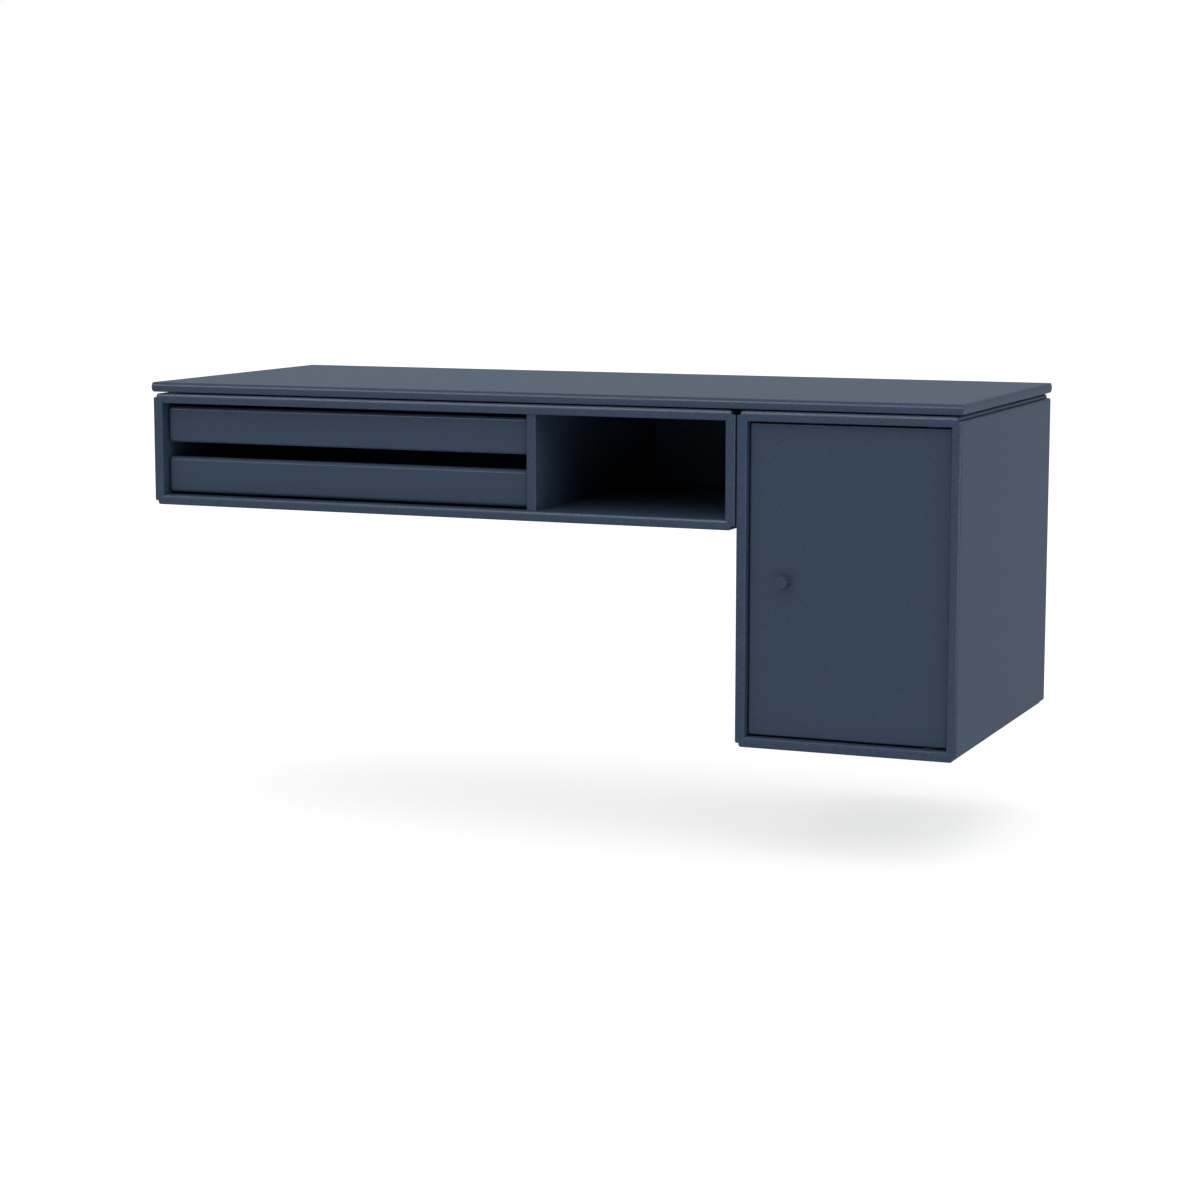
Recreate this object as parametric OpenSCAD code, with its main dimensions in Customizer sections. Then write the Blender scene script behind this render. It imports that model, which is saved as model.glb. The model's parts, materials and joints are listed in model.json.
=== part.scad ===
// Floating wall desk: a worktop over a low case with two shallow trays and an open
// compartment, and a tall cabinet with a door. The back stands against the wall at Y = 0,
// the front faces -Y, and the origin is midway between the wall screws of the low case.

/* [Boards] */
// Thickness of the case boards
board_t = 11; // [11:0.5:14]
// Thickness of the worktop
worktop_t = 11; // [10:0.5:16]
// Radius of the crowned edges of the worktop
worktop_edge_radius = 12.5; // [10.5:0.5:30]
// Radius of the crowned front edges of the case boards
board_edge_radius = 20; // [10:0.5:40]
// Rounding of the arrises beside a crowned edge
arris_round = 1.5; // [0.4:0.1:1.5]
// Thickness of the back panels
back_t = 8; // [6:0.5:10]
// Depth of the grooves that hold the back panels
back_groove_d = 5.3; // [3:0.1:6]
// Distance from the wall to the back panels
back_recess = 10; // [10:0.5:14]
// Play of a board or pin in its groove or hole
fit_play = 0.1; // [0.05:0.01:0.2]

/* [Cases] */
// Depth from the wall to the crown of the front edge
case_depth = 379.5; // [360:0.5:420]
// Width of the low desk case
desk_w = 695; // [660:1:760]
// Height of the low desk case
desk_h = 125.5; // [122:0.5:132]
// Width of the tall cabinet
cabinet_w = 239.5; // [220:0.5:300]
// Height of the tall cabinet
cabinet_h = 353.5; // [320:0.5:420]
// Dark gap between worktop and cases and between the two cases
shadow_gap = 1.5; // [0.5:0.1:2]
// Width of the bay that holds the trays
tray_bay_w = 446; // [420:1:470]
// How far the divider stands behind the front edge of the case
divider_recess = 3.5; // [2:0.5:8]

/* [Corners] */
// Size of the step along each outer corner of a case
corner_step = 4.4; // [3:0.1:5]
// Rounding of the ends of the top and bottom boards
lying_round = 3; // [1:0.1:3]
// Rounding of the ends of the side boards
standing_round = 2.5; // [1:0.1:3]

/* [Trays] */
// Height of a tray front
tray_front_h = 40; // [38:0.5:41]
// Thickness of a tray front
tray_front_t = 12; // [10:0.5:16]
// Rounding of the edges and corners of a tray front
tray_front_round = 4; // [2:0.5:6]
// How far the tray fronts stand behind the front edge of the case
tray_recess = 11; // [6:0.5:14]
// Play between a tray front and the boards beside it
tray_side_play = 1.2; // [0.8:0.1:2]
// Gap above the upper tray front
tray_top_gap = 4.2; // [2:0.1:5]
// Gap below the lower tray front
tray_floor_gap = 2.5; // [1:0.1:3]
// Room between the back of a tray and the back panel
tray_back_play = 10; // [4:1:40]
// Height of the sides and back of a tray
tray_side_h = 31; // [29:0.5:35]
// Thickness of the sides and back of a tray
tray_side_t = 11; // [10:0.5:14]
// Thickness of the bottom board of a tray
tray_bottom_t = 3.2; // [2.5:0.1:4]

/* [Runners] */
// Width of a runner, from the board that carries it to its tip
runner_w = 8; // [7:0.5:9]
// Height of a runner
runner_h = 10; // [8:0.5:11]
// Play of a runner in its groove, above and below
runner_play = 0.3; // [0.2:0.05:0.5]
// Gap between the sides of a tray and the boards beside it
tray_body_gap = 3; // [2:0.5:4]

/* [Door] */
// Thickness of the door
door_t = 12; // [10:0.5:16]
// How far the door stands behind the front edge of the case
door_recess = 7.5; // [5:0.5:12]
// Gap at the left and right edges of the door
door_side_gap = 1.3; // [1.2:0.1:2.5]
// Gap above and below the door
door_end_gap = 2; // [1.8:0.1:3]
// Rounding of the edges of the door
door_edge_round = 1.5; // [0.5:0.1:2]
// Distance from the right edge of the door to its pivots
pivot_inset = 20; // [15:1:30]
// Radius of the pivot pins
pivot_r = 2.5; // [2:0.25:3]
// Radial play of a pivot pin in its bush
pivot_play = 0.05; // [0.03:0.01:0.1]
// Radius of the knob
knob_r = 6; // [5:0.5:9]
// Length of the knob
knob_length = 15; // [10:1:20]
// Distance from the left edge of the door to the knob
knob_inset = 39.5; // [25:0.5:60]

/* [Inside] */
// Thickness of the shelf in the cabinet
shelf_t = 12; // [10:1:16]
// How far the shelf stands behind the front edge of the case
shelf_recess = 42; // [40:1:80]
// Height of the worktop above the line of the wall screws
worktop_z = 56; // [54:1:62]
// Distance between the wall screws of the desk case
desk_wall_spacing = 512; // [480:32:576]
// Distance between the wall screws of the cabinet
cabinet_wall_spacing = 128; // [96:32:160]
// Radius of the holes for the wall screws
wall_hole_r = 2.75; // [2:0.25:3.5]
// Thickness of the hanging rails
rail_t = 3; // [2:0.5:3]

/* [Hidden] */
$fn = 48;
lacquer = "#3b4858";
birch = "#cbb08a";
steel = "#a4a8ac";
nylon = "#2c2d30";
dark_pad = "#2b2b2d";

// Front edges: a shallow arc across the thickness of the board
board_crown = crown_depth(board_t, board_edge_radius);
worktop_crown = crown_depth(worktop_t, worktop_edge_radius);
front_y = board_crown - case_depth;

// Case corners and inner spaces
desk_x0 = -desk_w / 2;
desk_x1 = desk_w / 2;
cabinet_x0 = desk_x1 + shadow_gap;
cabinet_x1 = cabinet_x0 + cabinet_w;
case_top_z = worktop_z - worktop_t - shadow_gap;
desk_z0 = case_top_z - desk_h;
cabinet_z0 = case_top_z - cabinet_h;
inner_top_z = case_top_z - board_t;
desk_floor_z = desk_z0 + board_t;
cabinet_floor_z = cabinet_z0 + board_t;
divider_x0 = desk_x0 + board_t + tray_bay_w;
divider_x1 = divider_x0 + board_t;
cabinet_mid_x = (cabinet_x0 + cabinet_x1) / 2;

// Dowels and screws
dowel_r = 2.5;
mitre_dowel_length = 10;
mitre_dowel_offset = board_t * 2 / 3;
butt_dowel_length = 16;
dowel_setback = 76;
dowel_ys = [-dowel_setback, dowel_setback - case_depth];
screw_r = 1.75;
screw_head_r = 3.4;
screw_head_h = 1.8;
screw_cover = 4;
cross_arm = 1.5;
cross_w = 0.9;
cross_d = 1.4;
hex_r = 1.6;
hex_d = 1.5;

// Worktop fastening: pads between the boards and screws from inside the cases
pad_r = 8;
worktop_screw_length = board_t + shadow_gap + worktop_t - screw_cover;
worktop_screw_inset = 34;
worktop_screw_setback = 60;
worktop_screw_ys = [-worktop_screw_setback, worktop_screw_setback - case_depth];
desk_screw_xs = [desk_x0 + board_t + worktop_screw_inset, divider_x1 + worktop_screw_inset];
cabinet_screw_xs = [cabinet_x0 + board_t + worktop_screw_inset, cabinet_x1 - board_t - worktop_screw_inset];

// Bolts and sleeve nuts that join the cases
joining_head_r = 5;
joining_head_h = 1.6;
joining_bolt_r = 2;
joining_sleeve_r = 3.2;
joining_bolt_stop = 2;
joining_sleeve_stop = 1;
joining_setback = 70;
joining_ys = [-joining_setback, joining_setback - case_depth];
joining_z = (inner_top_z + desk_floor_z) / 2;

// Trays
tray_x0 = desk_x0 + board_t + tray_side_play;
tray_x1 = divider_x0 - tray_side_play;
tray_front_y = front_y + tray_recess;
tray_body_y = tray_front_y + tray_front_t;
tray_end_y = -(back_recess + back_t + tray_back_play);
tray_body_x0 = desk_x0 + board_t + tray_body_gap;
tray_body_x1 = divider_x0 - tray_body_gap;
upper_tray_z = inner_top_z - tray_top_gap - tray_front_h;
lower_tray_z = desk_floor_z + tray_floor_gap;
tray_side_lift = 1.5;
tray_bottom_lift = 3;
tray_bottom_grip = 4.5;
tray_groove_d = 5;
tray_dowel_length = 16;
tray_dowel_drop = 5;

// Runners: the groove in the tray side is closed in front and rests against the runner there
runner_tip_play = 0.5;
runner_groove_d = runner_w - tray_body_gap + runner_tip_play;
groove_stop = 6;
runner_y0 = tray_body_y + groove_stop + runner_play;
runner_back_room = 22;
runner_y1 = -(back_recess + back_t + runner_back_room);
runner_lift = tray_side_lift + tray_side_h / 2;
runner_screw_length = runner_w + board_t - screw_cover;
runner_screw_inset = 20;
runner_screw_ys = [
    runner_y0 + runner_screw_inset,
    (runner_y0 + runner_y1) / 2,
    runner_y1 - runner_screw_inset
];

// Door and its pivots
door_x0 = cabinet_x0 + board_t + door_side_gap;
door_x1 = cabinet_x1 - board_t - door_side_gap;
door_z0 = cabinet_floor_z + door_end_gap;
door_z1 = inner_top_z - door_end_gap;
door_y0 = front_y + door_recess;
door_y1 = door_y0 + door_t;
pivot_x = door_x1 - pivot_inset;
pivot_y = door_y0 + door_t / 2;
pin_in_door = 14;
pin_in_bush = 7;
bush_wall = 2;
bush_air = 0.4;
bush_flange_t = door_end_gap - bush_air;
bush_flange_r = pivot_r + bush_wall + 2;
bush_depth = 9;
knob_x = door_x0 + knob_inset;
knob_z = (door_z0 + door_z1) / 2;
knob_edge = 0.8;
knob_screw_r = 2;
knob_screw_in_knob = 8;
knob_screw_head_r = 4.5;
knob_screw_head_h = 2.2;

// Magnetic catch
catch_w = 20;
catch_h = 15;
catch_d = 26;
catch_round = 0.8;
catch_drop = 22;
catch_z = inner_top_z - catch_drop;
catch_x = cabinet_x0 + board_t + catch_w / 2;
catch_gap = 0.3;
catch_screw_offset = 3.7;
catch_screw_back = 5;
magnet_r = 4;
magnet_length = 14;
magnet_nose = 0.8;
strike_r = 6;
strike_t = 2;
catch_y0 = door_y1 + catch_gap + magnet_nose;

// Shelf and its supports
shelf_z = (inner_top_z + cabinet_floor_z - shelf_t) / 2;
shelf_side_play = 0.6;
shelf_front_y = front_y + shelf_recess;
shelf_back_play = 3;
shelf_back_y = -(back_recess + back_t + shelf_back_play);
support_pin_r = 2.5;
support_pin_in_board = 8;
support_tab_w = 8;
support_tab_d = 10;
support_tab_t = 3;
support_inset = 35;
support_ys = [shelf_front_y + support_inset, shelf_back_y - support_inset];

// Hanging rails: the case half hooks over the lip of the wall half
rail_low = 18;
rail_lip_z0 = 6;
rail_lip_z1 = 20;
hook_play = 0.4;
rail_slot = rail_t + 2 * hook_play;
hook_z0 = rail_lip_z0 + rail_t + hook_play;
desk_rail_w = 600;
cabinet_rail_w = 190;
rail_screw_z = -8;
rail_screw_cover = 2;
rail_screw_length = rail_t + back_t - rail_screw_cover;
rail_screw_inset = 20;
desk_rail_screws = 4;
cabinet_rail_screws = 3;
rail_screw_xs = concat(
    rail_screw_row(0, desk_rail_w, desk_rail_screws),
    rail_screw_row(cabinet_mid_x, cabinet_rail_w, cabinet_rail_screws)
);

// How far a crowned edge of that radius stands out across the thickness of a board
function crown_depth(thickness, radius) = radius - sqrt(radius * radius - thickness * thickness / 4);

// Evenly spaced screw places along a rail that is centred on x
function rail_screw_row(x, w, count) = [
    for (i = [0 : count - 1]) x - w / 2 + rail_screw_inset + i * (w - 2 * rail_screw_inset) / (count - 1)
];

// Depth section of a board: flat back at the wall, crowned edge in front
module edge_section(thickness, radius, front) {
    translate([front, 0])
        crowned_edge(thickness, radius, -front);
}

// Strip up to X = length: its end at X = 0 is crowned and its arrises are rounded
module crowned_edge(thickness, radius, length) {
    crown_x = radius - crown_depth(thickness, radius);
    rise = thickness / 2 - arris_round;
    arris = [-sqrt(pow(radius - arris_round, 2) - rise * rise), rise];
    reach = (radius + thickness / 4) / (radius - arris_round);
    translate([crown_x, thickness / 2]) {
        translate([arris[0], -thickness / 2])
            square([length - crown_x - arris[0], thickness]);
        for (side = [-1, 1])
            translate([arris[0], side * rise])
                circle(r = arris_round);
        intersection() {
            circle(r = radius, $fn = 96);
            polygon([
                [arris[0], -rise],
                [reach * arris[0], -reach * rise],
                [-radius - thickness / 4, 0],
                reach * arris,
                arris
            ]);
        }
    }
}

// End-on outline of a case board: mitred ends, stepped outer corners with a rounded shoulder
module board_outline(length, shoulder) {
    difference() {
        polygon([
            [corner_step, 0],
            [length - corner_step, 0],
            [length - corner_step, corner_step],
            [length - board_t, board_t],
            [board_t, board_t],
            [corner_step, corner_step]
        ]);
        shoulder_cut(corner_step, shoulder);
        translate([length, 0])
            mirror([1, 0])
                shoulder_cut(corner_step, shoulder);
    }
}

module shoulder_cut(x, r) {
    difference() {
        translate([x - 1, -1])
            square([r + 1, r + 1]);
        translate([x + r, r])
            circle(r = r);
    }
}

// Groove for a back panel, along the inner face of a board that lies with its outer face at Z = 0
module lying_back_groove(length) {
    translate([0, -back_recess - back_t - fit_play, board_t - back_groove_d])
        cube([length, back_t + 2 * fit_play, back_groove_d + 1]);
}

// Bottom board of a case, with its outer face at Z = 0
module lying_board(length) {
    difference() {
        intersection() {
            rotate([90, 0, 0])
                linear_extrude(case_depth + 1)
                    board_outline(length, lying_round);
            rotate([90, 0, 90])
                linear_extrude(length)
                    edge_section(board_t, board_edge_radius, front_y);
        }
        lying_back_groove(length);
    }
}

// Left side board of a case, with its outer face at X = 0
module standing_board(height) {
    difference() {
        intersection() {
            rotate([90, 0, 0])
                linear_extrude(case_depth + 1)
                    mirror([1, -1, 0])
                        board_outline(height, standing_round);
            linear_extrude(height)
                mirror([1, -1, 0])
                    edge_section(board_t, board_edge_radius, front_y);
        }
        translate([board_t - back_groove_d, -back_recess - back_t - fit_play, 0])
            cube([back_groove_d + 1, back_t + 2 * fit_play, height]);
    }
}

module bottom_board(x0, x1, z0) {
    translate([x0, 0, z0])
        lying_board(x1 - x0);
}

module top_board(x0, x1) {
    translate([x0, 0, case_top_z])
        mirror([0, 0, 1])
            lying_board(x1 - x0);
}

module left_board(x0, z0) {
    translate([x0, 0, z0])
        standing_board(case_top_z - z0);
}

module right_board(x1, z0) {
    translate([x1, 0, z0])
        mirror([1, 0, 0])
            standing_board(case_top_z - z0);
}

module back_panel(x0, x1, z0) {
    grip = back_groove_d - 0.3;
    translate([x0 + board_t - grip, -back_recess - back_t, z0 + board_t - grip])
        cube([x1 - x0 - 2 * (board_t - grip), back_t, case_top_z - z0 - 2 * (board_t - grip)]);
}

// Dowels across the four mitres of a case
module mitre_dowels(x0, x1, z0, play) {
    for (y = dowel_ys, right = [0, 1], top = [0, 1])
        translate([
            right ? x1 - mitre_dowel_offset : x0 + mitre_dowel_offset,
            y,
            top ? case_top_z - mitre_dowel_offset : z0 + mitre_dowel_offset
        ])
            rotate([0, right == top ? -45 : 45, 0])
                cylinder(h = mitre_dowel_length + 2 * play, r = dowel_r + play, center = true);
}

module divider_dowels(play) {
    for (y = dowel_ys, z = [inner_top_z, desk_floor_z])
        translate([(divider_x0 + divider_x1) / 2, y, z])
            cylinder(h = butt_dowel_length + 2 * play, r = dowel_r + play, center = true);
}

module desk_dowel_set(play) {
    mitre_dowels(desk_x0, desk_x1, desk_z0, play);
    divider_dowels(play);
}

module cabinet_dowel_set(play) {
    mitre_dowels(cabinet_x0, cabinet_x1, cabinet_z0, play);
}

// Countersunk screw: its head is flush with Z = 0 and it points along +Z. With play it
// is the hole for that screw, so it has no cross recess.
module countersunk_screw(length, play) {
    difference() {
        union() {
            cylinder(h = screw_head_h, r1 = screw_head_r + play, r2 = screw_r + play);
            cylinder(h = length + play, r = screw_r + play);
        }
        if (play == 0)
            cross_recess();
    }
}

// Cross recess in a screw head that faces -Z
module cross_recess() {
    for (angle = [0, 90])
        rotate([0, 0, angle])
            translate([-cross_arm, -cross_w / 2, -1])
                cube([2 * cross_arm, cross_w, cross_d + 1]);
}

// Hexagon socket in a head that faces -Z
module hex_socket() {
    translate([0, 0, -1])
        linear_extrude(hex_d + 1)
            polygon([for (i = [0 : 5]) [hex_r * cos(60 * i), hex_r * sin(60 * i)]]);
}

module worktop_screw_set(play) {
    for (x = concat(desk_screw_xs, cabinet_screw_xs), y = worktop_screw_ys)
        translate([x, y, inner_top_z])
            countersunk_screw(worktop_screw_length, play);
}

// One spot for each pad or bolt between the two cases
module at_joining_points() {
    for (y = joining_ys)
        translate([desk_x1, y, joining_z])
            rotate([0, 90, 0])
                children();
}

module joining_cut() {
    at_joining_points() {
        translate([0, 0, -board_t - 1])
            cylinder(h = 2 * board_t + 2, r = joining_bolt_r + fit_play);
        translate([0, 0, shadow_gap])
            cylinder(h = board_t + 1, r = joining_sleeve_r + fit_play);
    }
}

// Runner on the board at its left, with its lower edge at the height z
module runner(x, z, side) {
    translate([x, 0, z])
        mirror([side, 0, 0])
            difference() {
                runner_strip();
                runner_screw_row(fit_play);
            }
}

// Strip with half-round ends
module runner_strip() {
    end_r = runner_h / 2;
    translate([0, runner_y0 + end_r, -end_r])
        cube([runner_w, runner_y1 - runner_y0 - 2 * end_r, runner_h]);
    for (y = [runner_y0 + end_r, runner_y1 - end_r])
        translate([0, y, 0])
            rotate([0, 90, 0])
                cylinder(h = runner_w, r = end_r);
}

module runner_screw_row(play) {
    for (y = runner_screw_ys)
        translate([runner_w, y, 0])
            rotate([0, -90, 0])
                countersunk_screw(runner_screw_length, play);
}

module runner_screw_set(play) {
    for (z = [upper_tray_z, lower_tray_z]) {
        translate([desk_x0 + board_t, 0, z + runner_lift])
            runner_screw_row(play);
        translate([divider_x0, 0, z + runner_lift])
            mirror([1, 0, 0])
                runner_screw_row(play);
    }
}

// Block whose front face stands at Y = 0, with rounded front edges and corners
module rounded_front_block(w, d, h, r) {
    translate([r, 0, r])
        cube([w - 2 * r, d, h - 2 * r]);
    translate([r, r, 0])
        cube([w - 2 * r, d - r, h]);
    translate([0, r, r])
        cube([w, d - r, h - 2 * r]);
    for (x = [r, w - r], z = [r, h - r])
        translate([x, r, z]) {
            sphere(r = r);
            rotate([-90, 0, 0])
                cylinder(h = d - r, r = r);
        }
    for (z = [r, h - r])
        translate([r, r, z])
            rotate([0, 90, 0])
                cylinder(h = w - 2 * r, r = r);
    for (x = [r, w - r])
        translate([x, r, r])
            cylinder(h = h - 2 * r, r = r);
}

module tray_bottom_board(z, play) {
    grip = tray_bottom_grip + play;
    translate([
        tray_body_x0 + tray_side_t - grip,
        tray_body_y - grip,
        z + tray_side_lift + tray_bottom_lift - play / 2
    ])
        cube([
            tray_body_x1 - tray_body_x0 - 2 * (tray_side_t - grip),
            tray_end_y - tray_side_t - tray_body_y + 2 * grip,
            tray_bottom_t + play
        ]);
}

// One dowel at each corner of a tray, near the upper edge of its sides
module tray_dowel_set(z, play) {
    dowel_z = z + tray_side_lift + tray_side_h - tray_dowel_drop;
    for (right = [0, 1]) {
        side_x = right ? tray_body_x1 - tray_side_t / 2 : tray_body_x0 + tray_side_t / 2;
        translate([side_x, tray_body_y, dowel_z])
            rotate([90, 0, 0])
                cylinder(h = tray_dowel_length + 2 * play, r = dowel_r + play, center = true);
        inner_x = right ? tray_body_x1 - tray_side_t : tray_body_x0 + tray_side_t;
        translate([inner_x, tray_end_y - tray_side_t / 2, dowel_z])
            rotate([0, 90, 0])
                cylinder(h = tray_dowel_length + 2 * play, r = dowel_r + play, center = true);
    }
}

module tray_front(z) {
    difference() {
        translate([tray_x0, tray_front_y, z])
            rounded_front_block(tray_x1 - tray_x0, tray_front_t, tray_front_h, tray_front_round);
        tray_bottom_board(z, tray_groove_d - tray_bottom_grip);
        tray_dowel_set(z, fit_play);
    }
}

// Tray side at the left; side = 1 mirrors it to the right
module tray_side(z, side) {
    difference() {
        translate([side ? tray_body_x1 : tray_body_x0, 0, 0])
            mirror([side, 0, 0])
                difference() {
                    translate([0, tray_body_y, z + tray_side_lift])
                        cube([tray_side_t, tray_end_y - tray_body_y, tray_side_h]);
                    translate([-1, tray_body_y + groove_stop, z + runner_lift - runner_h / 2 - runner_play])
                        cube([runner_groove_d + 1, case_depth, runner_h + 2 * runner_play]);
                }
        tray_bottom_board(z, tray_groove_d - tray_bottom_grip);
        tray_dowel_set(z, fit_play);
    }
}

module tray_back(z) {
    difference() {
        translate([tray_body_x0 + tray_side_t, tray_end_y - tray_side_t, z + tray_side_lift])
            cube([tray_body_x1 - tray_body_x0 - 2 * tray_side_t, tray_side_t, tray_side_h]);
        tray_bottom_board(z, tray_groove_d - tray_bottom_grip);
        tray_dowel_set(z, fit_play);
    }
}

// Pivots: the pins stand in the door and turn in the bushes
module at_pivots() {
    translate([pivot_x, pivot_y, door_z1])
        children();
    translate([pivot_x, pivot_y, door_z0])
        mirror([0, 0, 1])
            children();
}

module bush_body(play) {
    translate([0, 0, door_end_gap])
        cylinder(h = bush_depth + play, r = pivot_r + bush_wall + play);
}

module knob_screw_set(play) {
    translate([knob_x, door_y1, knob_z])
        rotate([90, 0, 0])
            difference() {
                union() {
                    cylinder(h = knob_screw_head_h, r = knob_screw_head_r + play);
                    cylinder(h = door_t + knob_screw_in_knob + play, r = knob_screw_r + play);
                }
                if (play == 0)
                    cross_recess();
            }
}

module strike_disc(play) {
    translate([catch_x, door_y1, catch_z])
        rotate([90, 0, 0])
            cylinder(h = strike_t + play, r = strike_r + play);
}

module catch_screw_set(play) {
    for (side = [-1, 1])
        translate([
            catch_x + catch_w / 2,
            catch_y0 + catch_d - catch_screw_back,
            catch_z + side * catch_screw_offset
        ])
            rotate([0, -90, 0])
                countersunk_screw(catch_w + board_t - screw_cover, play);
}

module shelf_support_pins(play) {
    for (y = support_ys, right = [0, 1])
        translate([right ? cabinet_x1 - board_t : cabinet_x0 + board_t, y, shelf_z - support_tab_t])
            rotate([0, right ? 90 : -90, 0])
                translate([0, 0, -1])
                    cylinder(h = support_pin_in_board + 1 + play, r = support_pin_r + play);
}

module rail_screw_set(play) {
    for (x = rail_screw_xs)
        translate([x, -back_recess + rail_t, rail_screw_z])
            rotate([90, 0, 0])
                countersunk_screw(rail_screw_length, play);
}

// Wall half of a hanging rail, centred on x
module wall_rail(x, w, spacing) {
    difference() {
        translate([x - w / 2, 0, 0])
            rotate([90, 0, 90])
                linear_extrude(w)
                    polygon([
                        [0, -rail_low],
                        [0, rail_lip_z0 + rail_t],
                        [-rail_slot, rail_lip_z0 + rail_t],
                        [-rail_slot, rail_lip_z1],
                        [-rail_slot - rail_t, rail_lip_z1],
                        [-rail_slot - rail_t, rail_lip_z0],
                        [-rail_t, rail_lip_z0],
                        [-rail_t, -rail_low]
                    ]);
        for (side = [-1, 1])
            translate([x + side * spacing / 2, 1, 0])
                rotate([90, 0, 0])
                    cylinder(h = rail_t + 2, r = wall_hole_r);
    }
}

// Case half of a hanging rail: it lies on the back panel and hooks over the lip
module hanging_rail(x, w) {
    difference() {
        translate([x - w / 2, 0, 0])
            rotate([90, 0, 90])
                linear_extrude(w)
                    polygon([
                        [-back_recess, -rail_low],
                        [-back_recess, rail_lip_z1 + rail_t],
                        [-hook_play, rail_lip_z1 + rail_t],
                        [-hook_play, hook_z0],
                        [-hook_play - rail_t, hook_z0],
                        [-hook_play - rail_t, rail_lip_z1],
                        [-back_recess + rail_t, rail_lip_z1],
                        [-back_recess + rail_t, -rail_low]
                    ]);
        rail_screw_set(fit_play);
    }
}

module worktop() {
    x0 = desk_x0;
    w = cabinet_x1 - desk_x0;
    color(lacquer)
        difference() {
            intersection() {
                translate([x0 - worktop_crown, 0, worktop_z - worktop_t])
                    rotate([90, 0, 90])
                        linear_extrude(w + 2 * worktop_crown)
                            edge_section(worktop_t, worktop_edge_radius, front_y);
                translate([0, 0, worktop_z - worktop_t])
                    rotate([90, 0, 0])
                        linear_extrude(case_depth + worktop_crown)
                            worktop_end_section(x0, w);
            }
            worktop_screw_set(fit_play);
        }
}

// Section of the worktop across its width, crowned at both ends
module worktop_end_section(x0, w) {
    intersection() {
        translate([x0, 0])
            crowned_edge(worktop_t, worktop_edge_radius, w + worktop_t);
        translate([x0 + w, 0])
            mirror([1, 0])
                crowned_edge(worktop_t, worktop_edge_radius, w + worktop_t);
    }
}

module worktop_pads() {
    color(dark_pad)
        for (x = concat(desk_screw_xs, cabinet_screw_xs), y = worktop_screw_ys)
            translate([x, y, case_top_z])
                difference() {
                    cylinder(h = shadow_gap, r = pad_r);
                    translate([0, 0, -1])
                        cylinder(h = shadow_gap + 2, r = screw_r + fit_play);
                }
}

module worktop_screws() {
    color(steel)
        worktop_screw_set(0);
}

module desk_top_board() {
    color(lacquer)
        difference() {
            top_board(desk_x0, desk_x1);
            desk_dowel_set(fit_play);
            worktop_screw_set(fit_play);
        }
}

module desk_bottom_board() {
    color(lacquer)
        difference() {
            bottom_board(desk_x0, desk_x1, desk_z0);
            desk_dowel_set(fit_play);
        }
}

module desk_left_side() {
    color(lacquer)
        difference() {
            left_board(desk_x0, desk_z0);
            desk_dowel_set(fit_play);
            runner_screw_set(fit_play);
        }
}

module desk_right_side() {
    color(lacquer)
        difference() {
            right_board(desk_x1, desk_z0);
            desk_dowel_set(fit_play);
            joining_cut();
        }
}

module desk_divider() {
    color(lacquer)
        difference() {
            translate([divider_x0, 0, desk_floor_z])
                linear_extrude(inner_top_z - desk_floor_z)
                    difference() {
                        mirror([1, -1, 0])
                            edge_section(board_t, board_edge_radius, front_y + divider_recess);
                        translate([-1, -back_recess - back_t - fit_play])
                            square([board_t + 2, back_recess + back_t + fit_play + 1]);
                    }
            divider_dowels(fit_play);
            runner_screw_set(fit_play);
        }
}

module desk_back_panel() {
    color(lacquer)
        difference() {
            back_panel(desk_x0, desk_x1, desk_z0);
            rail_screw_set(fit_play);
        }
}

module desk_dowels() {
    color(birch)
        desk_dowel_set(0);
}

module upper_left_runner() {
    color(nylon)
        runner(desk_x0 + board_t, upper_tray_z + runner_lift, 0);
}

module upper_right_runner() {
    color(nylon)
        runner(divider_x0, upper_tray_z + runner_lift, 1);
}

module lower_left_runner() {
    color(nylon)
        runner(desk_x0 + board_t, lower_tray_z + runner_lift, 0);
}

module lower_right_runner() {
    color(nylon)
        runner(divider_x0, lower_tray_z + runner_lift, 1);
}

module runner_screws() {
    color(steel)
        runner_screw_set(0);
}

module upper_tray_front() {
    color(lacquer)
        tray_front(upper_tray_z);
}

module upper_tray_left_side() {
    color(lacquer)
        tray_side(upper_tray_z, 0);
}

module upper_tray_right_side() {
    color(lacquer)
        tray_side(upper_tray_z, 1);
}

module upper_tray_back() {
    color(lacquer)
        tray_back(upper_tray_z);
}

module upper_tray_bottom() {
    color(lacquer)
        tray_bottom_board(upper_tray_z, 0);
}

module upper_tray_dowels() {
    color(birch)
        tray_dowel_set(upper_tray_z, 0);
}

module lower_tray_front() {
    color(lacquer)
        tray_front(lower_tray_z);
}

module lower_tray_left_side() {
    color(lacquer)
        tray_side(lower_tray_z, 0);
}

module lower_tray_right_side() {
    color(lacquer)
        tray_side(lower_tray_z, 1);
}

module lower_tray_back() {
    color(lacquer)
        tray_back(lower_tray_z);
}

module lower_tray_bottom() {
    color(lacquer)
        tray_bottom_board(lower_tray_z, 0);
}

module lower_tray_dowels() {
    color(birch)
        tray_dowel_set(lower_tray_z, 0);
}

module cabinet_top_board() {
    color(lacquer)
        difference() {
            top_board(cabinet_x0, cabinet_x1);
            cabinet_dowel_set(fit_play);
            worktop_screw_set(fit_play);
            at_pivots()
                bush_body(fit_play);
        }
}

module cabinet_bottom_board() {
    color(lacquer)
        difference() {
            bottom_board(cabinet_x0, cabinet_x1, cabinet_z0);
            cabinet_dowel_set(fit_play);
            at_pivots()
                bush_body(fit_play);
        }
}

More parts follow.
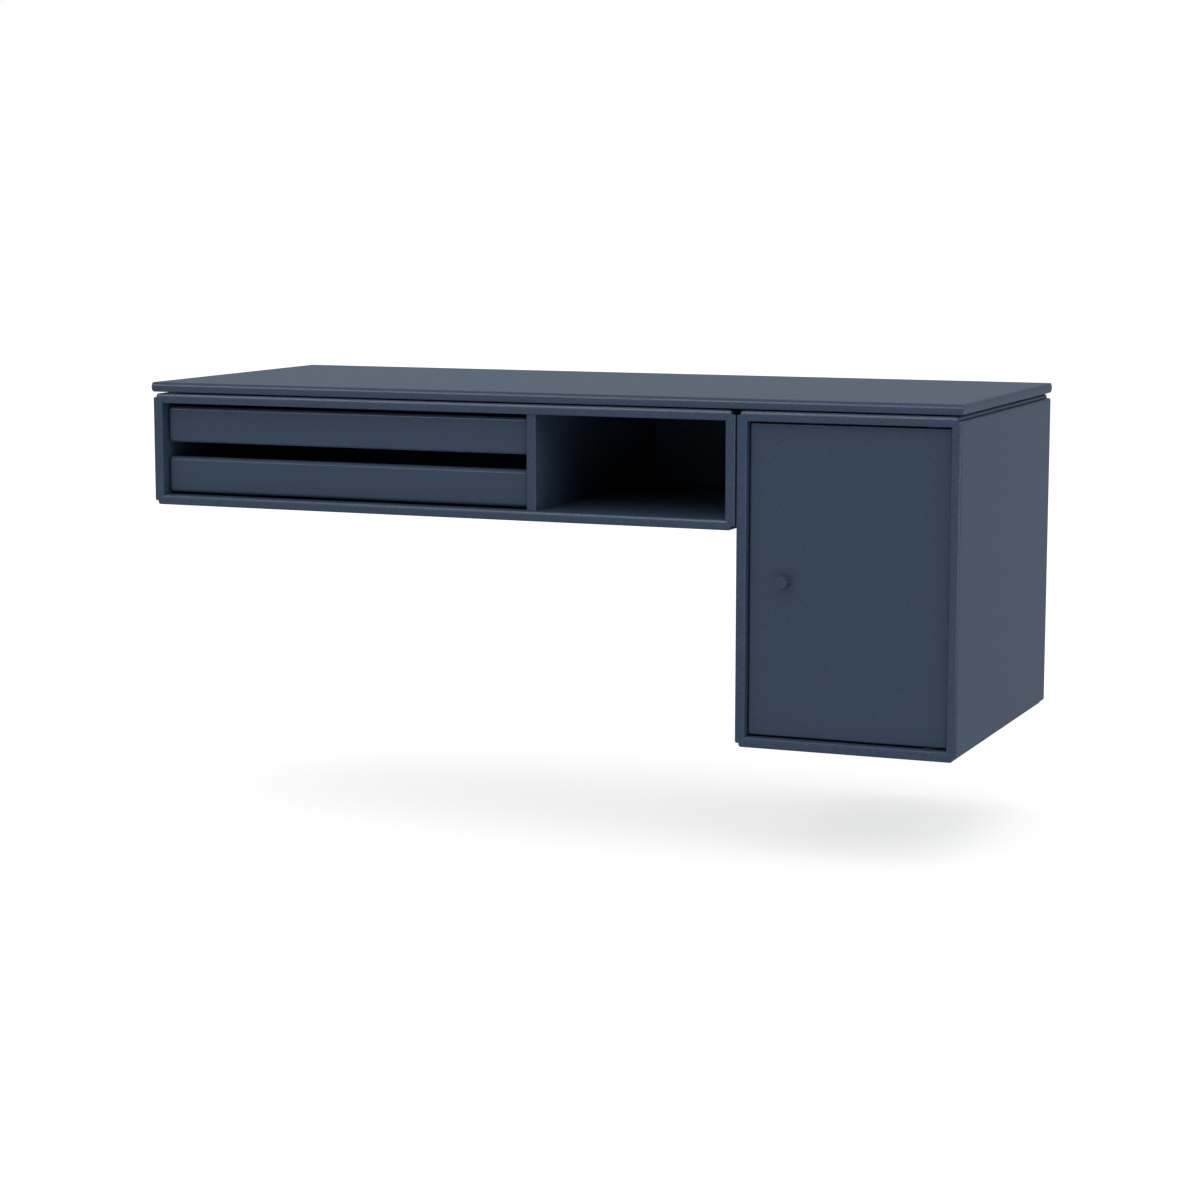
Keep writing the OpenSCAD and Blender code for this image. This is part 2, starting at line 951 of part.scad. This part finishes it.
module cabinet_left_side() {
    color(lacquer)
        difference() {
            left_board(cabinet_x0, cabinet_z0);
            cabinet_dowel_set(fit_play);
            joining_cut();
            shelf_support_pins(fit_play);
            catch_screw_set(fit_play);
        }
}

module cabinet_right_side() {
    color(lacquer)
        difference() {
            right_board(cabinet_x1, cabinet_z0);
            cabinet_dowel_set(fit_play);
            shelf_support_pins(fit_play);
        }
}

module cabinet_back_panel() {
    color(lacquer)
        difference() {
            back_panel(cabinet_x0, cabinet_x1, cabinet_z0);
            rail_screw_set(fit_play);
        }
}

module cabinet_dowels() {
    color(birch)
        cabinet_dowel_set(0);
}

module cabinet_shelf() {
    x0 = cabinet_x0 + board_t + shelf_side_play;
    w = cabinet_w - 2 * (board_t + shelf_side_play);
    color(lacquer)
        translate([x0, shelf_front_y, shelf_z]) {
            translate([0, arris_round, 0])
                cube([w, shelf_back_y - shelf_front_y - arris_round, shelf_t]);
            translate([0, 0, arris_round])
                cube([w, 2 * arris_round, shelf_t - 2 * arris_round]);
            for (z = [arris_round, shelf_t - arris_round])
                translate([0, arris_round, z])
                    rotate([0, 90, 0])
                        cylinder(h = w, r = arris_round);
        }
}

module shelf_supports() {
    color(steel) {
        shelf_support_pins(0);
        for (y = support_ys, x = [cabinet_x0 + board_t, cabinet_x1 - board_t - support_tab_w])
            translate([x, y - support_tab_d / 2, shelf_z - support_tab_t])
                cube([support_tab_w, support_tab_d, support_tab_t]);
    }
}

module door_panel() {
    color(lacquer)
        difference() {
            translate([door_x0, door_y0, door_z0])
                rounded_front_block(door_x1 - door_x0, door_t, door_z1 - door_z0, door_edge_round);
            at_pivots()
                translate([0, 0, -pin_in_door - fit_play])
                    cylinder(h = pin_in_door + 1, r = pivot_r + pivot_play);
            knob_screw_set(fit_play);
            strike_disc(fit_play);
        }
}

module door_knob() {
    color(lacquer)
        translate([knob_x, door_y0, knob_z])
            rotate([90, 0, 0])
                rotate_extrude()
                    difference() {
                        union() {
                            square([knob_r, knob_length - knob_edge]);
                            square([knob_r - knob_edge, knob_length]);
                            translate([knob_r - knob_edge, knob_length - knob_edge])
                                circle(r = knob_edge);
                        }
                        translate([-knob_r, -1])
                            square([knob_r, knob_length + 2]);
                        translate([0, -1])
                            square([knob_screw_r + fit_play, knob_screw_in_knob + 1 + fit_play]);
                    }
}

module knob_screw() {
    color(steel)
        knob_screw_set(0);
}

module pivot_pins() {
    color(steel)
        at_pivots()
            translate([0, 0, -pin_in_door])
                cylinder(h = pin_in_door + door_end_gap + pin_in_bush, r = pivot_r);
}

module pivot_bushes() {
    color(nylon)
        at_pivots()
            difference() {
                union() {
                    bush_body(0);
                    translate([0, 0, door_end_gap - bush_flange_t])
                        cylinder(h = bush_flange_t, r = bush_flange_r);
                }
                cylinder(h = door_end_gap + pin_in_bush + 0.5, r = pivot_r + pivot_play);
            }
}

module catch_housing() {
    color(nylon)
        difference() {
            translate([catch_x - catch_w / 2, catch_y0, catch_z - catch_h / 2])
                rounded_front_block(catch_w, catch_d, catch_h, catch_round);
            translate([catch_x, catch_y0 + magnet_length - magnet_nose + fit_play, catch_z])
                rotate([90, 0, 0])
                    cylinder(h = magnet_length + 2, r = magnet_r + fit_play);
            catch_screw_set(fit_play);
        }
}

module catch_magnet() {
    color(steel)
        translate([catch_x, catch_y0 + magnet_length - magnet_nose, catch_z])
            rotate([90, 0, 0])
                cylinder(h = magnet_length, r = magnet_r);
}

module catch_screws() {
    color(steel)
        catch_screw_set(0);
}

module catch_strike() {
    color(steel)
        strike_disc(0);
}

module joining_bolts() {
    color(steel)
        at_joining_points()
            translate([0, 0, -board_t - joining_head_h])
                difference() {
                    union() {
                        cylinder(h = joining_head_h, r = joining_head_r);
                        translate([0, 0, joining_head_h])
                            cylinder(h = 2 * board_t + shadow_gap - joining_bolt_stop, r = joining_bolt_r);
                    }
                    hex_socket();
                }
}

module joining_nuts() {
    color(steel)
        at_joining_points()
            difference() {
                union() {
                    translate([0, 0, shadow_gap + board_t])
                        cylinder(h = joining_head_h, r = joining_head_r);
                    translate([0, 0, shadow_gap + joining_sleeve_stop])
                        cylinder(h = board_t - joining_sleeve_stop, r = joining_sleeve_r);
                }
                cylinder(h = shadow_gap + board_t - joining_sleeve_stop, r = joining_bolt_r + fit_play);
                translate([0, 0, shadow_gap + board_t + joining_head_h])
                    mirror([0, 0, 1])
                        hex_socket();
            }
}

module joining_pads() {
    color(dark_pad)
        at_joining_points()
            difference() {
                cylinder(h = shadow_gap, r = pad_r);
                translate([0, 0, -1])
                    cylinder(h = shadow_gap + 2, r = joining_bolt_r + fit_play);
            }
}

module desk_hanging_rail() {
    color(steel)
        hanging_rail(0, desk_rail_w);
}

module cabinet_hanging_rail() {
    color(steel)
        hanging_rail(cabinet_mid_x, cabinet_rail_w);
}

module rail_screws() {
    color(steel)
        rail_screw_set(0);
}

module desk_wall_rail() {
    color(steel)
        wall_rail(0, desk_rail_w, desk_wall_spacing);
}

module cabinet_wall_rail() {
    color(steel)
        wall_rail(cabinet_mid_x, cabinet_rail_w, cabinet_wall_spacing);
}

worktop();
worktop_pads();
worktop_screws();
desk_top_board();
desk_bottom_board();
desk_left_side();
desk_right_side();
desk_divider();
desk_back_panel();
desk_dowels();
upper_left_runner();
upper_right_runner();
lower_left_runner();
lower_right_runner();
runner_screws();
upper_tray_front();
upper_tray_left_side();
upper_tray_right_side();
upper_tray_back();
upper_tray_bottom();
upper_tray_dowels();
lower_tray_front();
lower_tray_left_side();
lower_tray_right_side();
lower_tray_back();
lower_tray_bottom();
lower_tray_dowels();
cabinet_top_board();
cabinet_bottom_board();
cabinet_left_side();
cabinet_right_side();
cabinet_back_panel();
cabinet_dowels();
cabinet_shelf();
shelf_supports();
door_panel();
door_knob();
knob_screw();
pivot_pins();
pivot_bushes();
catch_housing();
catch_magnet();
catch_screws();
catch_strike();
joining_bolts();
joining_nuts();
joining_pads();
desk_hanging_rail();
cabinet_hanging_rail();
rail_screws();
desk_wall_rail();
cabinet_wall_rail();
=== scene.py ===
import json
import math

import bmesh
import bpy
from mathutils import Matrix, Vector

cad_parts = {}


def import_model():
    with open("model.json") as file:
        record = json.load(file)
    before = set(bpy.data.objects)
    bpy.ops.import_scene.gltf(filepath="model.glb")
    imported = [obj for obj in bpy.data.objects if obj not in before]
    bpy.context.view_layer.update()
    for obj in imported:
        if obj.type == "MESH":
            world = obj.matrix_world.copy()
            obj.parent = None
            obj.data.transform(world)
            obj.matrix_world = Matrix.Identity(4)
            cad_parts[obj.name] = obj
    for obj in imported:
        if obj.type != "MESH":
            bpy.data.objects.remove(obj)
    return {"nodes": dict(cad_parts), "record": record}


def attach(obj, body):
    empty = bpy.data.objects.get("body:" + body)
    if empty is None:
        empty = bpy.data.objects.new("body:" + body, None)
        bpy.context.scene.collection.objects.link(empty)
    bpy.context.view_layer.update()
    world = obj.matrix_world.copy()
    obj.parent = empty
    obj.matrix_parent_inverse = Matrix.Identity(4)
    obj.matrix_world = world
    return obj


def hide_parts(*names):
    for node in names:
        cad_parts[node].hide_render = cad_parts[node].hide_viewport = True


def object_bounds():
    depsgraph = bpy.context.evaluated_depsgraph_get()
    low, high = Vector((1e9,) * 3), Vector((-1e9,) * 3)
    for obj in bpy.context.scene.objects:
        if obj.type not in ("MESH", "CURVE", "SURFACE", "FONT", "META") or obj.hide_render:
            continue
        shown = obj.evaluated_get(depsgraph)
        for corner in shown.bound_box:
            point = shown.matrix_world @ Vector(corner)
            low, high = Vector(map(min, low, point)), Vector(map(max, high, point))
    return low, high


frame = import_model()
cad_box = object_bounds()

MM = 0.001
WHITE = (1.0, 1.0, 1.0)

# Camera: an 85 mm lens that stands to the right of the desk and looks a little down
LENS_MM = 85.0
SENSOR_MM = 36.0
CAMERA_AZIMUTH = math.radians(22.27)
CAMERA_ELEVATION = math.radians(7.93)
CAMERA_ROLL = math.radians(0.05)
CAMERA_DISTANCE = 3.3
CAMERA_REACH = 60.0
CAMERA_TARGET = Vector((0.0888, -0.1164, -0.2021))

# Lacquer: a matt, finely mottled body colour under a thin clear sheen with a little orange peel.
# Scales of textures are in repeats per metre.
LACQUER_COLOUR = (0.0356, 0.0551, 0.0890)
LACQUER_ROUGHNESS = 0.55
LACQUER_SPECKLE = 0.16
LACQUER_SPECKLE_SCALE = 900.0
LACQUER_SPECKLE_DETAIL = 3.0
LACQUER_SPECKLE_ENDS = (0.38, 0.62)
LACQUER_SHEEN = 0.13
LACQUER_SHEEN_ROUGHNESS = 0.18
PEEL_SCALE = 700.0
PEEL_DETAIL = 2.0
PEEL_STRENGTH = 0.06
PEEL_DEPTH = 0.1 * MM

# Zinc on the hanging rails
ZINC_FLAKE_SCALE = 170.0
ZINC_DARK = (0.30, 0.31, 0.33)
ZINC_LIGHT = (0.40, 0.41, 0.43)
ZINC_ROUGHNESS = (0.32, 0.5)

# Small fittings: faint grain in one colour
GRAIN_SCALE = 400.0
GRAIN_DARK = 0.85
USUAL_SPECULAR = 0.5
DULL_SPECULAR = 0.1

# Width of the eased arrises by material slot; nodes of other slots keep their CAD mesh.
EASE = {
    "lacquer": 0.2 * MM,
    "steel": 0.15 * MM,
    "rail_steel": 0.3 * MM,
    "nylon": 0.25 * MM,
    "birch": 0.4 * MM,
}
EASE_SEGMENTS = 2
WELD = 0.001 * MM
FLAT_ANGLE = math.radians(0.5)
ARRIS_ANGLE = math.radians(25)
FACE_WEIGHT = 100

# On these boards unclamped easing makes the mitre lines show. Elsewhere it would leave slivers.
UNCLAMPED_BOARDS = ("_top_board", "_bottom_board")

# Background: white, and what gloss reflects of it has a faint tint
GLOSS_TINT = (0.954, 1.0, 0.98)

# Floor: a share of the shadow is kept, and the rest is white
FLOOR_DROP = 0.115
FLOOR_SIZE = 30.0
FLOOR_GREY = (0.85, 0.85, 0.85)
FLOOR_SHADOW_SHARE = 0.42
FLOOR_GLOW = 1.19

# Distance of lamps whose place doesn't matter
LAMP_DISTANCE = 3.0


def opaque(colour, factor=1.0):
    return tuple(factor * c for c in colour) + (1.0,)


def material(name):
    """A new node material: returns it with its node tree and its Principled shader."""
    made = bpy.data.materials.new(name)
    made.use_nodes = True
    tree = made.node_tree
    return made, tree, tree.nodes["Principled BSDF"]


def on_object(tree, kind, scale):
    """A texture node of that kind in the object's own coordinates."""
    place = tree.nodes.new("ShaderNodeTexCoord")
    texture = tree.nodes.new(kind)
    texture.inputs["Scale"].default_value = scale
    tree.links.new(place.outputs["Object"], texture.inputs["Vector"])
    return texture


def ramp(tree, value, low, high, ends=(0.0, 1.0)):
    """Colour that goes from low to high while the value goes from one end to the other."""
    made = tree.nodes.new("ShaderNodeValToRGB")
    for element, position, colour in zip(made.color_ramp.elements, ends, (low, high)):
        element.position = position
        element.color = colour
    tree.links.new(value, made.inputs["Fac"])
    return made.outputs["Color"]


def lacquer():
    """Slate-blue satin lacquer."""
    made, tree, shader = material("slate_lacquer")
    shader.inputs["Roughness"].default_value = LACQUER_ROUGHNESS
    shader.inputs["Specular IOR Level"].default_value = 0.0
    shader.inputs["Coat Weight"].default_value = LACQUER_SHEEN
    shader.inputs["Coat Roughness"].default_value = LACQUER_SHEEN_ROUGHNESS

    cloud = on_object(tree, "ShaderNodeTexNoise", LACQUER_SPECKLE_SCALE)
    cloud.inputs["Detail"].default_value = LACQUER_SPECKLE_DETAIL
    low = opaque(LACQUER_COLOUR, 1 - LACQUER_SPECKLE)
    high = opaque(LACQUER_COLOUR, 1 + LACQUER_SPECKLE)
    tint = ramp(tree, cloud.outputs["Fac"], low, high, LACQUER_SPECKLE_ENDS)
    tree.links.new(tint, shader.inputs["Base Color"])

    peel = on_object(tree, "ShaderNodeTexNoise", PEEL_SCALE)
    peel.inputs["Detail"].default_value = PEEL_DETAIL
    bump = tree.nodes.new("ShaderNodeBump")
    bump.inputs["Strength"].default_value = PEEL_STRENGTH
    bump.inputs["Distance"].default_value = PEEL_DEPTH
    tree.links.new(peel.outputs["Fac"], bump.inputs["Height"])
    tree.links.new(bump.outputs["Normal"], shader.inputs["Normal"])
    return made


def galvanised():
    """Hot-dip zinc on sheet steel: grey metal with faint crystal flakes of differing gloss."""
    made, tree, shader = material("galvanised_steel")
    shader.inputs["Metallic"].default_value = 1.0
    flakes = on_object(tree, "ShaderNodeTexVoronoi", ZINC_FLAKE_SCALE)
    tint = ramp(tree, flakes.outputs["Color"], opaque(ZINC_DARK), opaque(ZINC_LIGHT))
    tree.links.new(tint, shader.inputs["Base Color"])
    gloss = tree.nodes.new("ShaderNodeMapRange")
    gloss.inputs["To Min"].default_value, gloss.inputs["To Max"].default_value = ZINC_ROUGHNESS
    tree.links.new(flakes.outputs["Color"], gloss.inputs["Value"])
    tree.links.new(gloss.outputs["Result"], shader.inputs["Roughness"])
    return made


def plain(name, colour, roughness, metallic=0.0, specular=USUAL_SPECULAR):
    """One colour with a faint grain."""
    made, tree, shader = material(name)
    shader.inputs["Roughness"].default_value = roughness
    shader.inputs["Specular IOR Level"].default_value = specular
    shader.inputs["Metallic"].default_value = metallic
    grain = on_object(tree, "ShaderNodeTexNoise", GRAIN_SCALE)
    tint = ramp(tree, grain.outputs["Fac"], opaque(colour, GRAIN_DARK), opaque(colour))
    tree.links.new(tint, shader.inputs["Base Color"])
    return made


BY_SLOT = {
    "lacquer": lacquer(),
    "steel": plain("zinc_steel", (0.42, 0.43, 0.45), roughness=0.38, metallic=1.0),
    "rail_steel": galvanised(),
    "nylon": plain(
        "dark_nylon", (0.012, 0.012, 0.013), roughness=0.65, specular=DULL_SPECULAR
    ),
    "birch": plain("birch", (0.6, 0.42, 0.24), roughness=0.6),
    "dark_pad": plain("black_rubber", (0.01, 0.01, 0.01), roughness=0.8),
}
# Nodes coloured apart from the usual finish of their slot; the pivot pins' black is partly
# painted shade
BY_NODE = {
    # Pivot pins: near black and dull, a guessed black finish that is also painted shade in the
    # door's bottom gap
    "pivot_pins": plain(
        "black_steel_and_painted_shade", (0.02, 0.02, 0.021), roughness=0.6, specular=DULL_SPECULAR
    ),
}
SLOT_OF = {part["node"]: part["material_slot"] for part in frame["record"]["subparts"]}
BODY_OF = {
    node: body
    for body, nodes in frame["record"]["behaviour"]["bodies"].items()
    for node in nodes
}


def finish_of(node):
    return BY_NODE.get(node, BY_SLOT[SLOT_OF[node]])


def dress_cad_nodes():
    for node, obj in frame["nodes"].items():
        obj.data.materials.clear()
        obj.data.materials.append(finish_of(node))


def eased(node, width, clamp):
    """A copy of the CAD node with its sharp arrises eased, which stands for it."""
    mesh = frame["nodes"][node].data.copy()
    copy = bpy.data.objects.new(node + "_eased", mesh)
    bpy.context.scene.collection.objects.link(copy)
    work = bmesh.new()
    work.from_mesh(mesh)
    bmesh.ops.remove_doubles(work, verts=work.verts, dist=WELD)
    bmesh.ops.dissolve_limit(work, angle_limit=FLAT_ANGLE, verts=work.verts, edges=work.edges)
    work.to_mesh(mesh)
    work.free()
    mesh.materials.clear()
    mesh.materials.append(finish_of(node))
    for polygon in mesh.polygons:
        polygon.use_smooth = True
    bevel = copy.modifiers.new("ease", "BEVEL")
    bevel.width = width
    bevel.segments = EASE_SEGMENTS
    bevel.limit_method = "ANGLE"
    bevel.angle_limit = ARRIS_ANGLE
    bevel.use_clamp_overlap = clamp
    even = copy.modifiers.new("even_shading", "WEIGHTED_NORMAL")
    even.mode = "FACE_AREA"
    even.weight = FACE_WEIGHT
    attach(copy, BODY_OF[node])
    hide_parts(node)


def ease_nodes():
    for node, slot in SLOT_OF.items():
        if slot in EASE:
            eased(node, EASE[slot], clamp=not node.endswith(UNCLAMPED_BOARDS))


def camera():
    data = bpy.data.cameras.new("camera")
    data.lens = LENS_MM
    data.sensor_width = SENSOR_MM
    data.clip_end = CAMERA_REACH
    eye = bpy.data.objects.new("camera", data)
    bpy.context.scene.collection.objects.link(eye)
    sight = Vector((
        -math.sin(CAMERA_AZIMUTH) * math.cos(CAMERA_ELEVATION),
        math.cos(CAMERA_AZIMUTH) * math.cos(CAMERA_ELEVATION),
        -math.sin(CAMERA_ELEVATION),
    ))
    turn = sight.to_track_quat("-Z", "Y").to_matrix().to_4x4()
    eye.matrix_world = (
        Matrix.Translation(CAMERA_TARGET - CAMERA_DISTANCE * sight)
        @ turn
        @ Matrix.Rotation(CAMERA_ROLL, 4, "Z")
    )
    bpy.context.scene.camera = eye


def off_desk(direction, distance):
    """The point at that distance from the desk's middle in that direction."""
    return CAMERA_TARGET + Vector(direction).normalized() * distance


def lamp(name, kind, direction, place):
    """A lamp of that kind at that place, whose light comes from that direction."""
    made = bpy.data.objects.new(name, bpy.data.lights.new(name, kind))
    bpy.context.scene.collection.objects.link(made)
    way = Vector(direction).normalized()
    made.location = place
    made.rotation_euler = (-way).to_track_quat("-Z", "Y").to_euler()
    return made


def soft_sky(name, direction, angle, strength, colour=WHITE):
    """A wide even light from far away; strength 1 shows a facing surface in its own colour."""
    data = lamp(name, "SUN", direction, off_desk(direction, LAMP_DISTANCE)).data
    data.angle = math.radians(angle)
    data.color = colour
    data.energy = strength * math.pi


def soft_box(name, direction, place, width, height, radiance):
    """A rectangle that shines with that radiance."""
    made = lamp(name, "AREA", direction, place)
    made.data.shape = "RECTANGLE"
    made.data.size = width
    made.data.size_y = height
    made.data.energy = radiance * math.pi * width * height
    return made


def strip_light(name, direction, place, width, height, radiance):
    """A soft box that shows only in gloss, as a narrow bright line on rounded edges."""
    soft_box(name, direction, place, width, height, radiance).visible_diffuse = False


def soft_fill(name, direction, place, width, height, radiance):
    """A soft box beside the desk that lights the faces turned to it and shows in no gloss."""
    made = soft_box(name, direction, place, width, height, radiance)
    made.visible_glossy = False
    made.visible_camera = False


def lights():
    soft_sky("dome", (0.0, 0.0, 1.0), angle=120, strength=0.90)
    soft_sky("dome_front", (0.0, -0.4, 1.0), angle=100, strength=0.13)
    soft_sky("overhead", (0.1, 0.1, 1.0), angle=60, strength=0.13)
    soft_sky(
        "right", (1.0, -0.1, 0.3), angle=50, strength=0.275, colour=(0.93, 1.06, 1.10)
    )
    soft_sky(
        "front", (-0.2, -1.0, 0.5), angle=50, strength=0.16, colour=(1.03, 0.99, 0.98)
    )
    soft_fill(
        "fill_right", (1.0, 0.0, 0.0), place=(1.9, -0.3, -0.3),
        width=2.0, height=0.25, radiance=0.55
    )
    front_left = (-0.375, -0.887, 0.266)
    strip_light(
        "strip", front_left, place=off_desk(front_left, distance=6.0),
        width=3.2, height=0.85, radiance=22.0
    )
    strip_light(
        "tall_strip", (0.0, -1.0, 0.0), place=(1.1, -1.38, -0.2),
        width=0.8, height=0.42, radiance=10.0
    )


def seen_straight(tree):
    """1 on rays that show the background itself: from the camera, in gloss or through glass."""
    path = tree.nodes.new("ShaderNodeLightPath")
    seen = path.outputs["Is Camera Ray"]
    for ray in ("Is Glossy Ray", "Is Transmission Ray"):
        either = tree.nodes.new("ShaderNodeMath")
        either.operation = "MAXIMUM"
        tree.links.new(seen, either.inputs[0])
        tree.links.new(path.outputs[ray], either.inputs[1])
        seen = either.outputs[0]
    return seen


def world():
    """White where it is seen straight; it lights nothing by itself."""
    made = bpy.data.worlds.new("studio")
    bpy.context.scene.world = made
    made.use_nodes = True
    tree = made.node_tree
    tree.nodes.clear()
    path = tree.nodes.new("ShaderNodeLightPath")
    tint = ramp(tree, path.outputs["Is Glossy Ray"], opaque(WHITE), opaque(GLOSS_TINT))
    background = tree.nodes.new("ShaderNodeBackground")
    out = tree.nodes.new("ShaderNodeOutputWorld")
    tree.links.new(tint, background.inputs["Color"])
    tree.links.new(seen_straight(tree), background.inputs["Strength"])
    tree.links.new(background.outputs[0], out.inputs["Surface"])


def white_floor():
    """Where it is seen straight, its own white takes all but a share of the shadow away."""
    made = bpy.data.materials.new("white_floor")
    made.use_nodes = True
    tree = made.node_tree
    tree.nodes.clear()
    diffuse = tree.nodes.new("ShaderNodeBsdfDiffuse")
    diffuse.inputs["Color"].default_value = opaque(FLOOR_GREY)
    glow = tree.nodes.new("ShaderNodeEmission")
    glow.inputs["Color"].default_value = opaque(WHITE)
    glow.inputs["Strength"].default_value = FLOOR_GLOW
    share = tree.nodes.new("ShaderNodeMath")
    share.operation = "MULTIPLY"
    share.inputs[1].default_value = 1 - FLOOR_SHADOW_SHARE
    mix = tree.nodes.new("ShaderNodeMixShader")
    out = tree.nodes.new("ShaderNodeOutputMaterial")
    tree.links.new(seen_straight(tree), share.inputs[0])
    tree.links.new(share.outputs[0], mix.inputs["Fac"])
    tree.links.new(diffuse.outputs[0], mix.inputs[1])
    tree.links.new(glow.outputs[0], mix.inputs[2])
    tree.links.new(mix.outputs[0], out.inputs["Surface"])
    return made


def floor():
    low = cad_box[0][2] - FLOOR_DROP
    half = FLOOR_SIZE / 2
    corners = [(-half, -half, low), (half, -half, low), (half, half, low), (-half, half, low)]
    mesh = bpy.data.meshes.new("floor")
    mesh.from_pydata(corners, [], [(0, 1, 2, 3)])
    mesh.materials.append(white_floor())
    ground = bpy.data.objects.new("floor", mesh)
    bpy.context.scene.collection.objects.link(ground)


camera()
dress_cad_nodes()
ease_nodes()
world()
floor()
lights()

bpy.context.scene.view_settings.view_transform = "Standard"
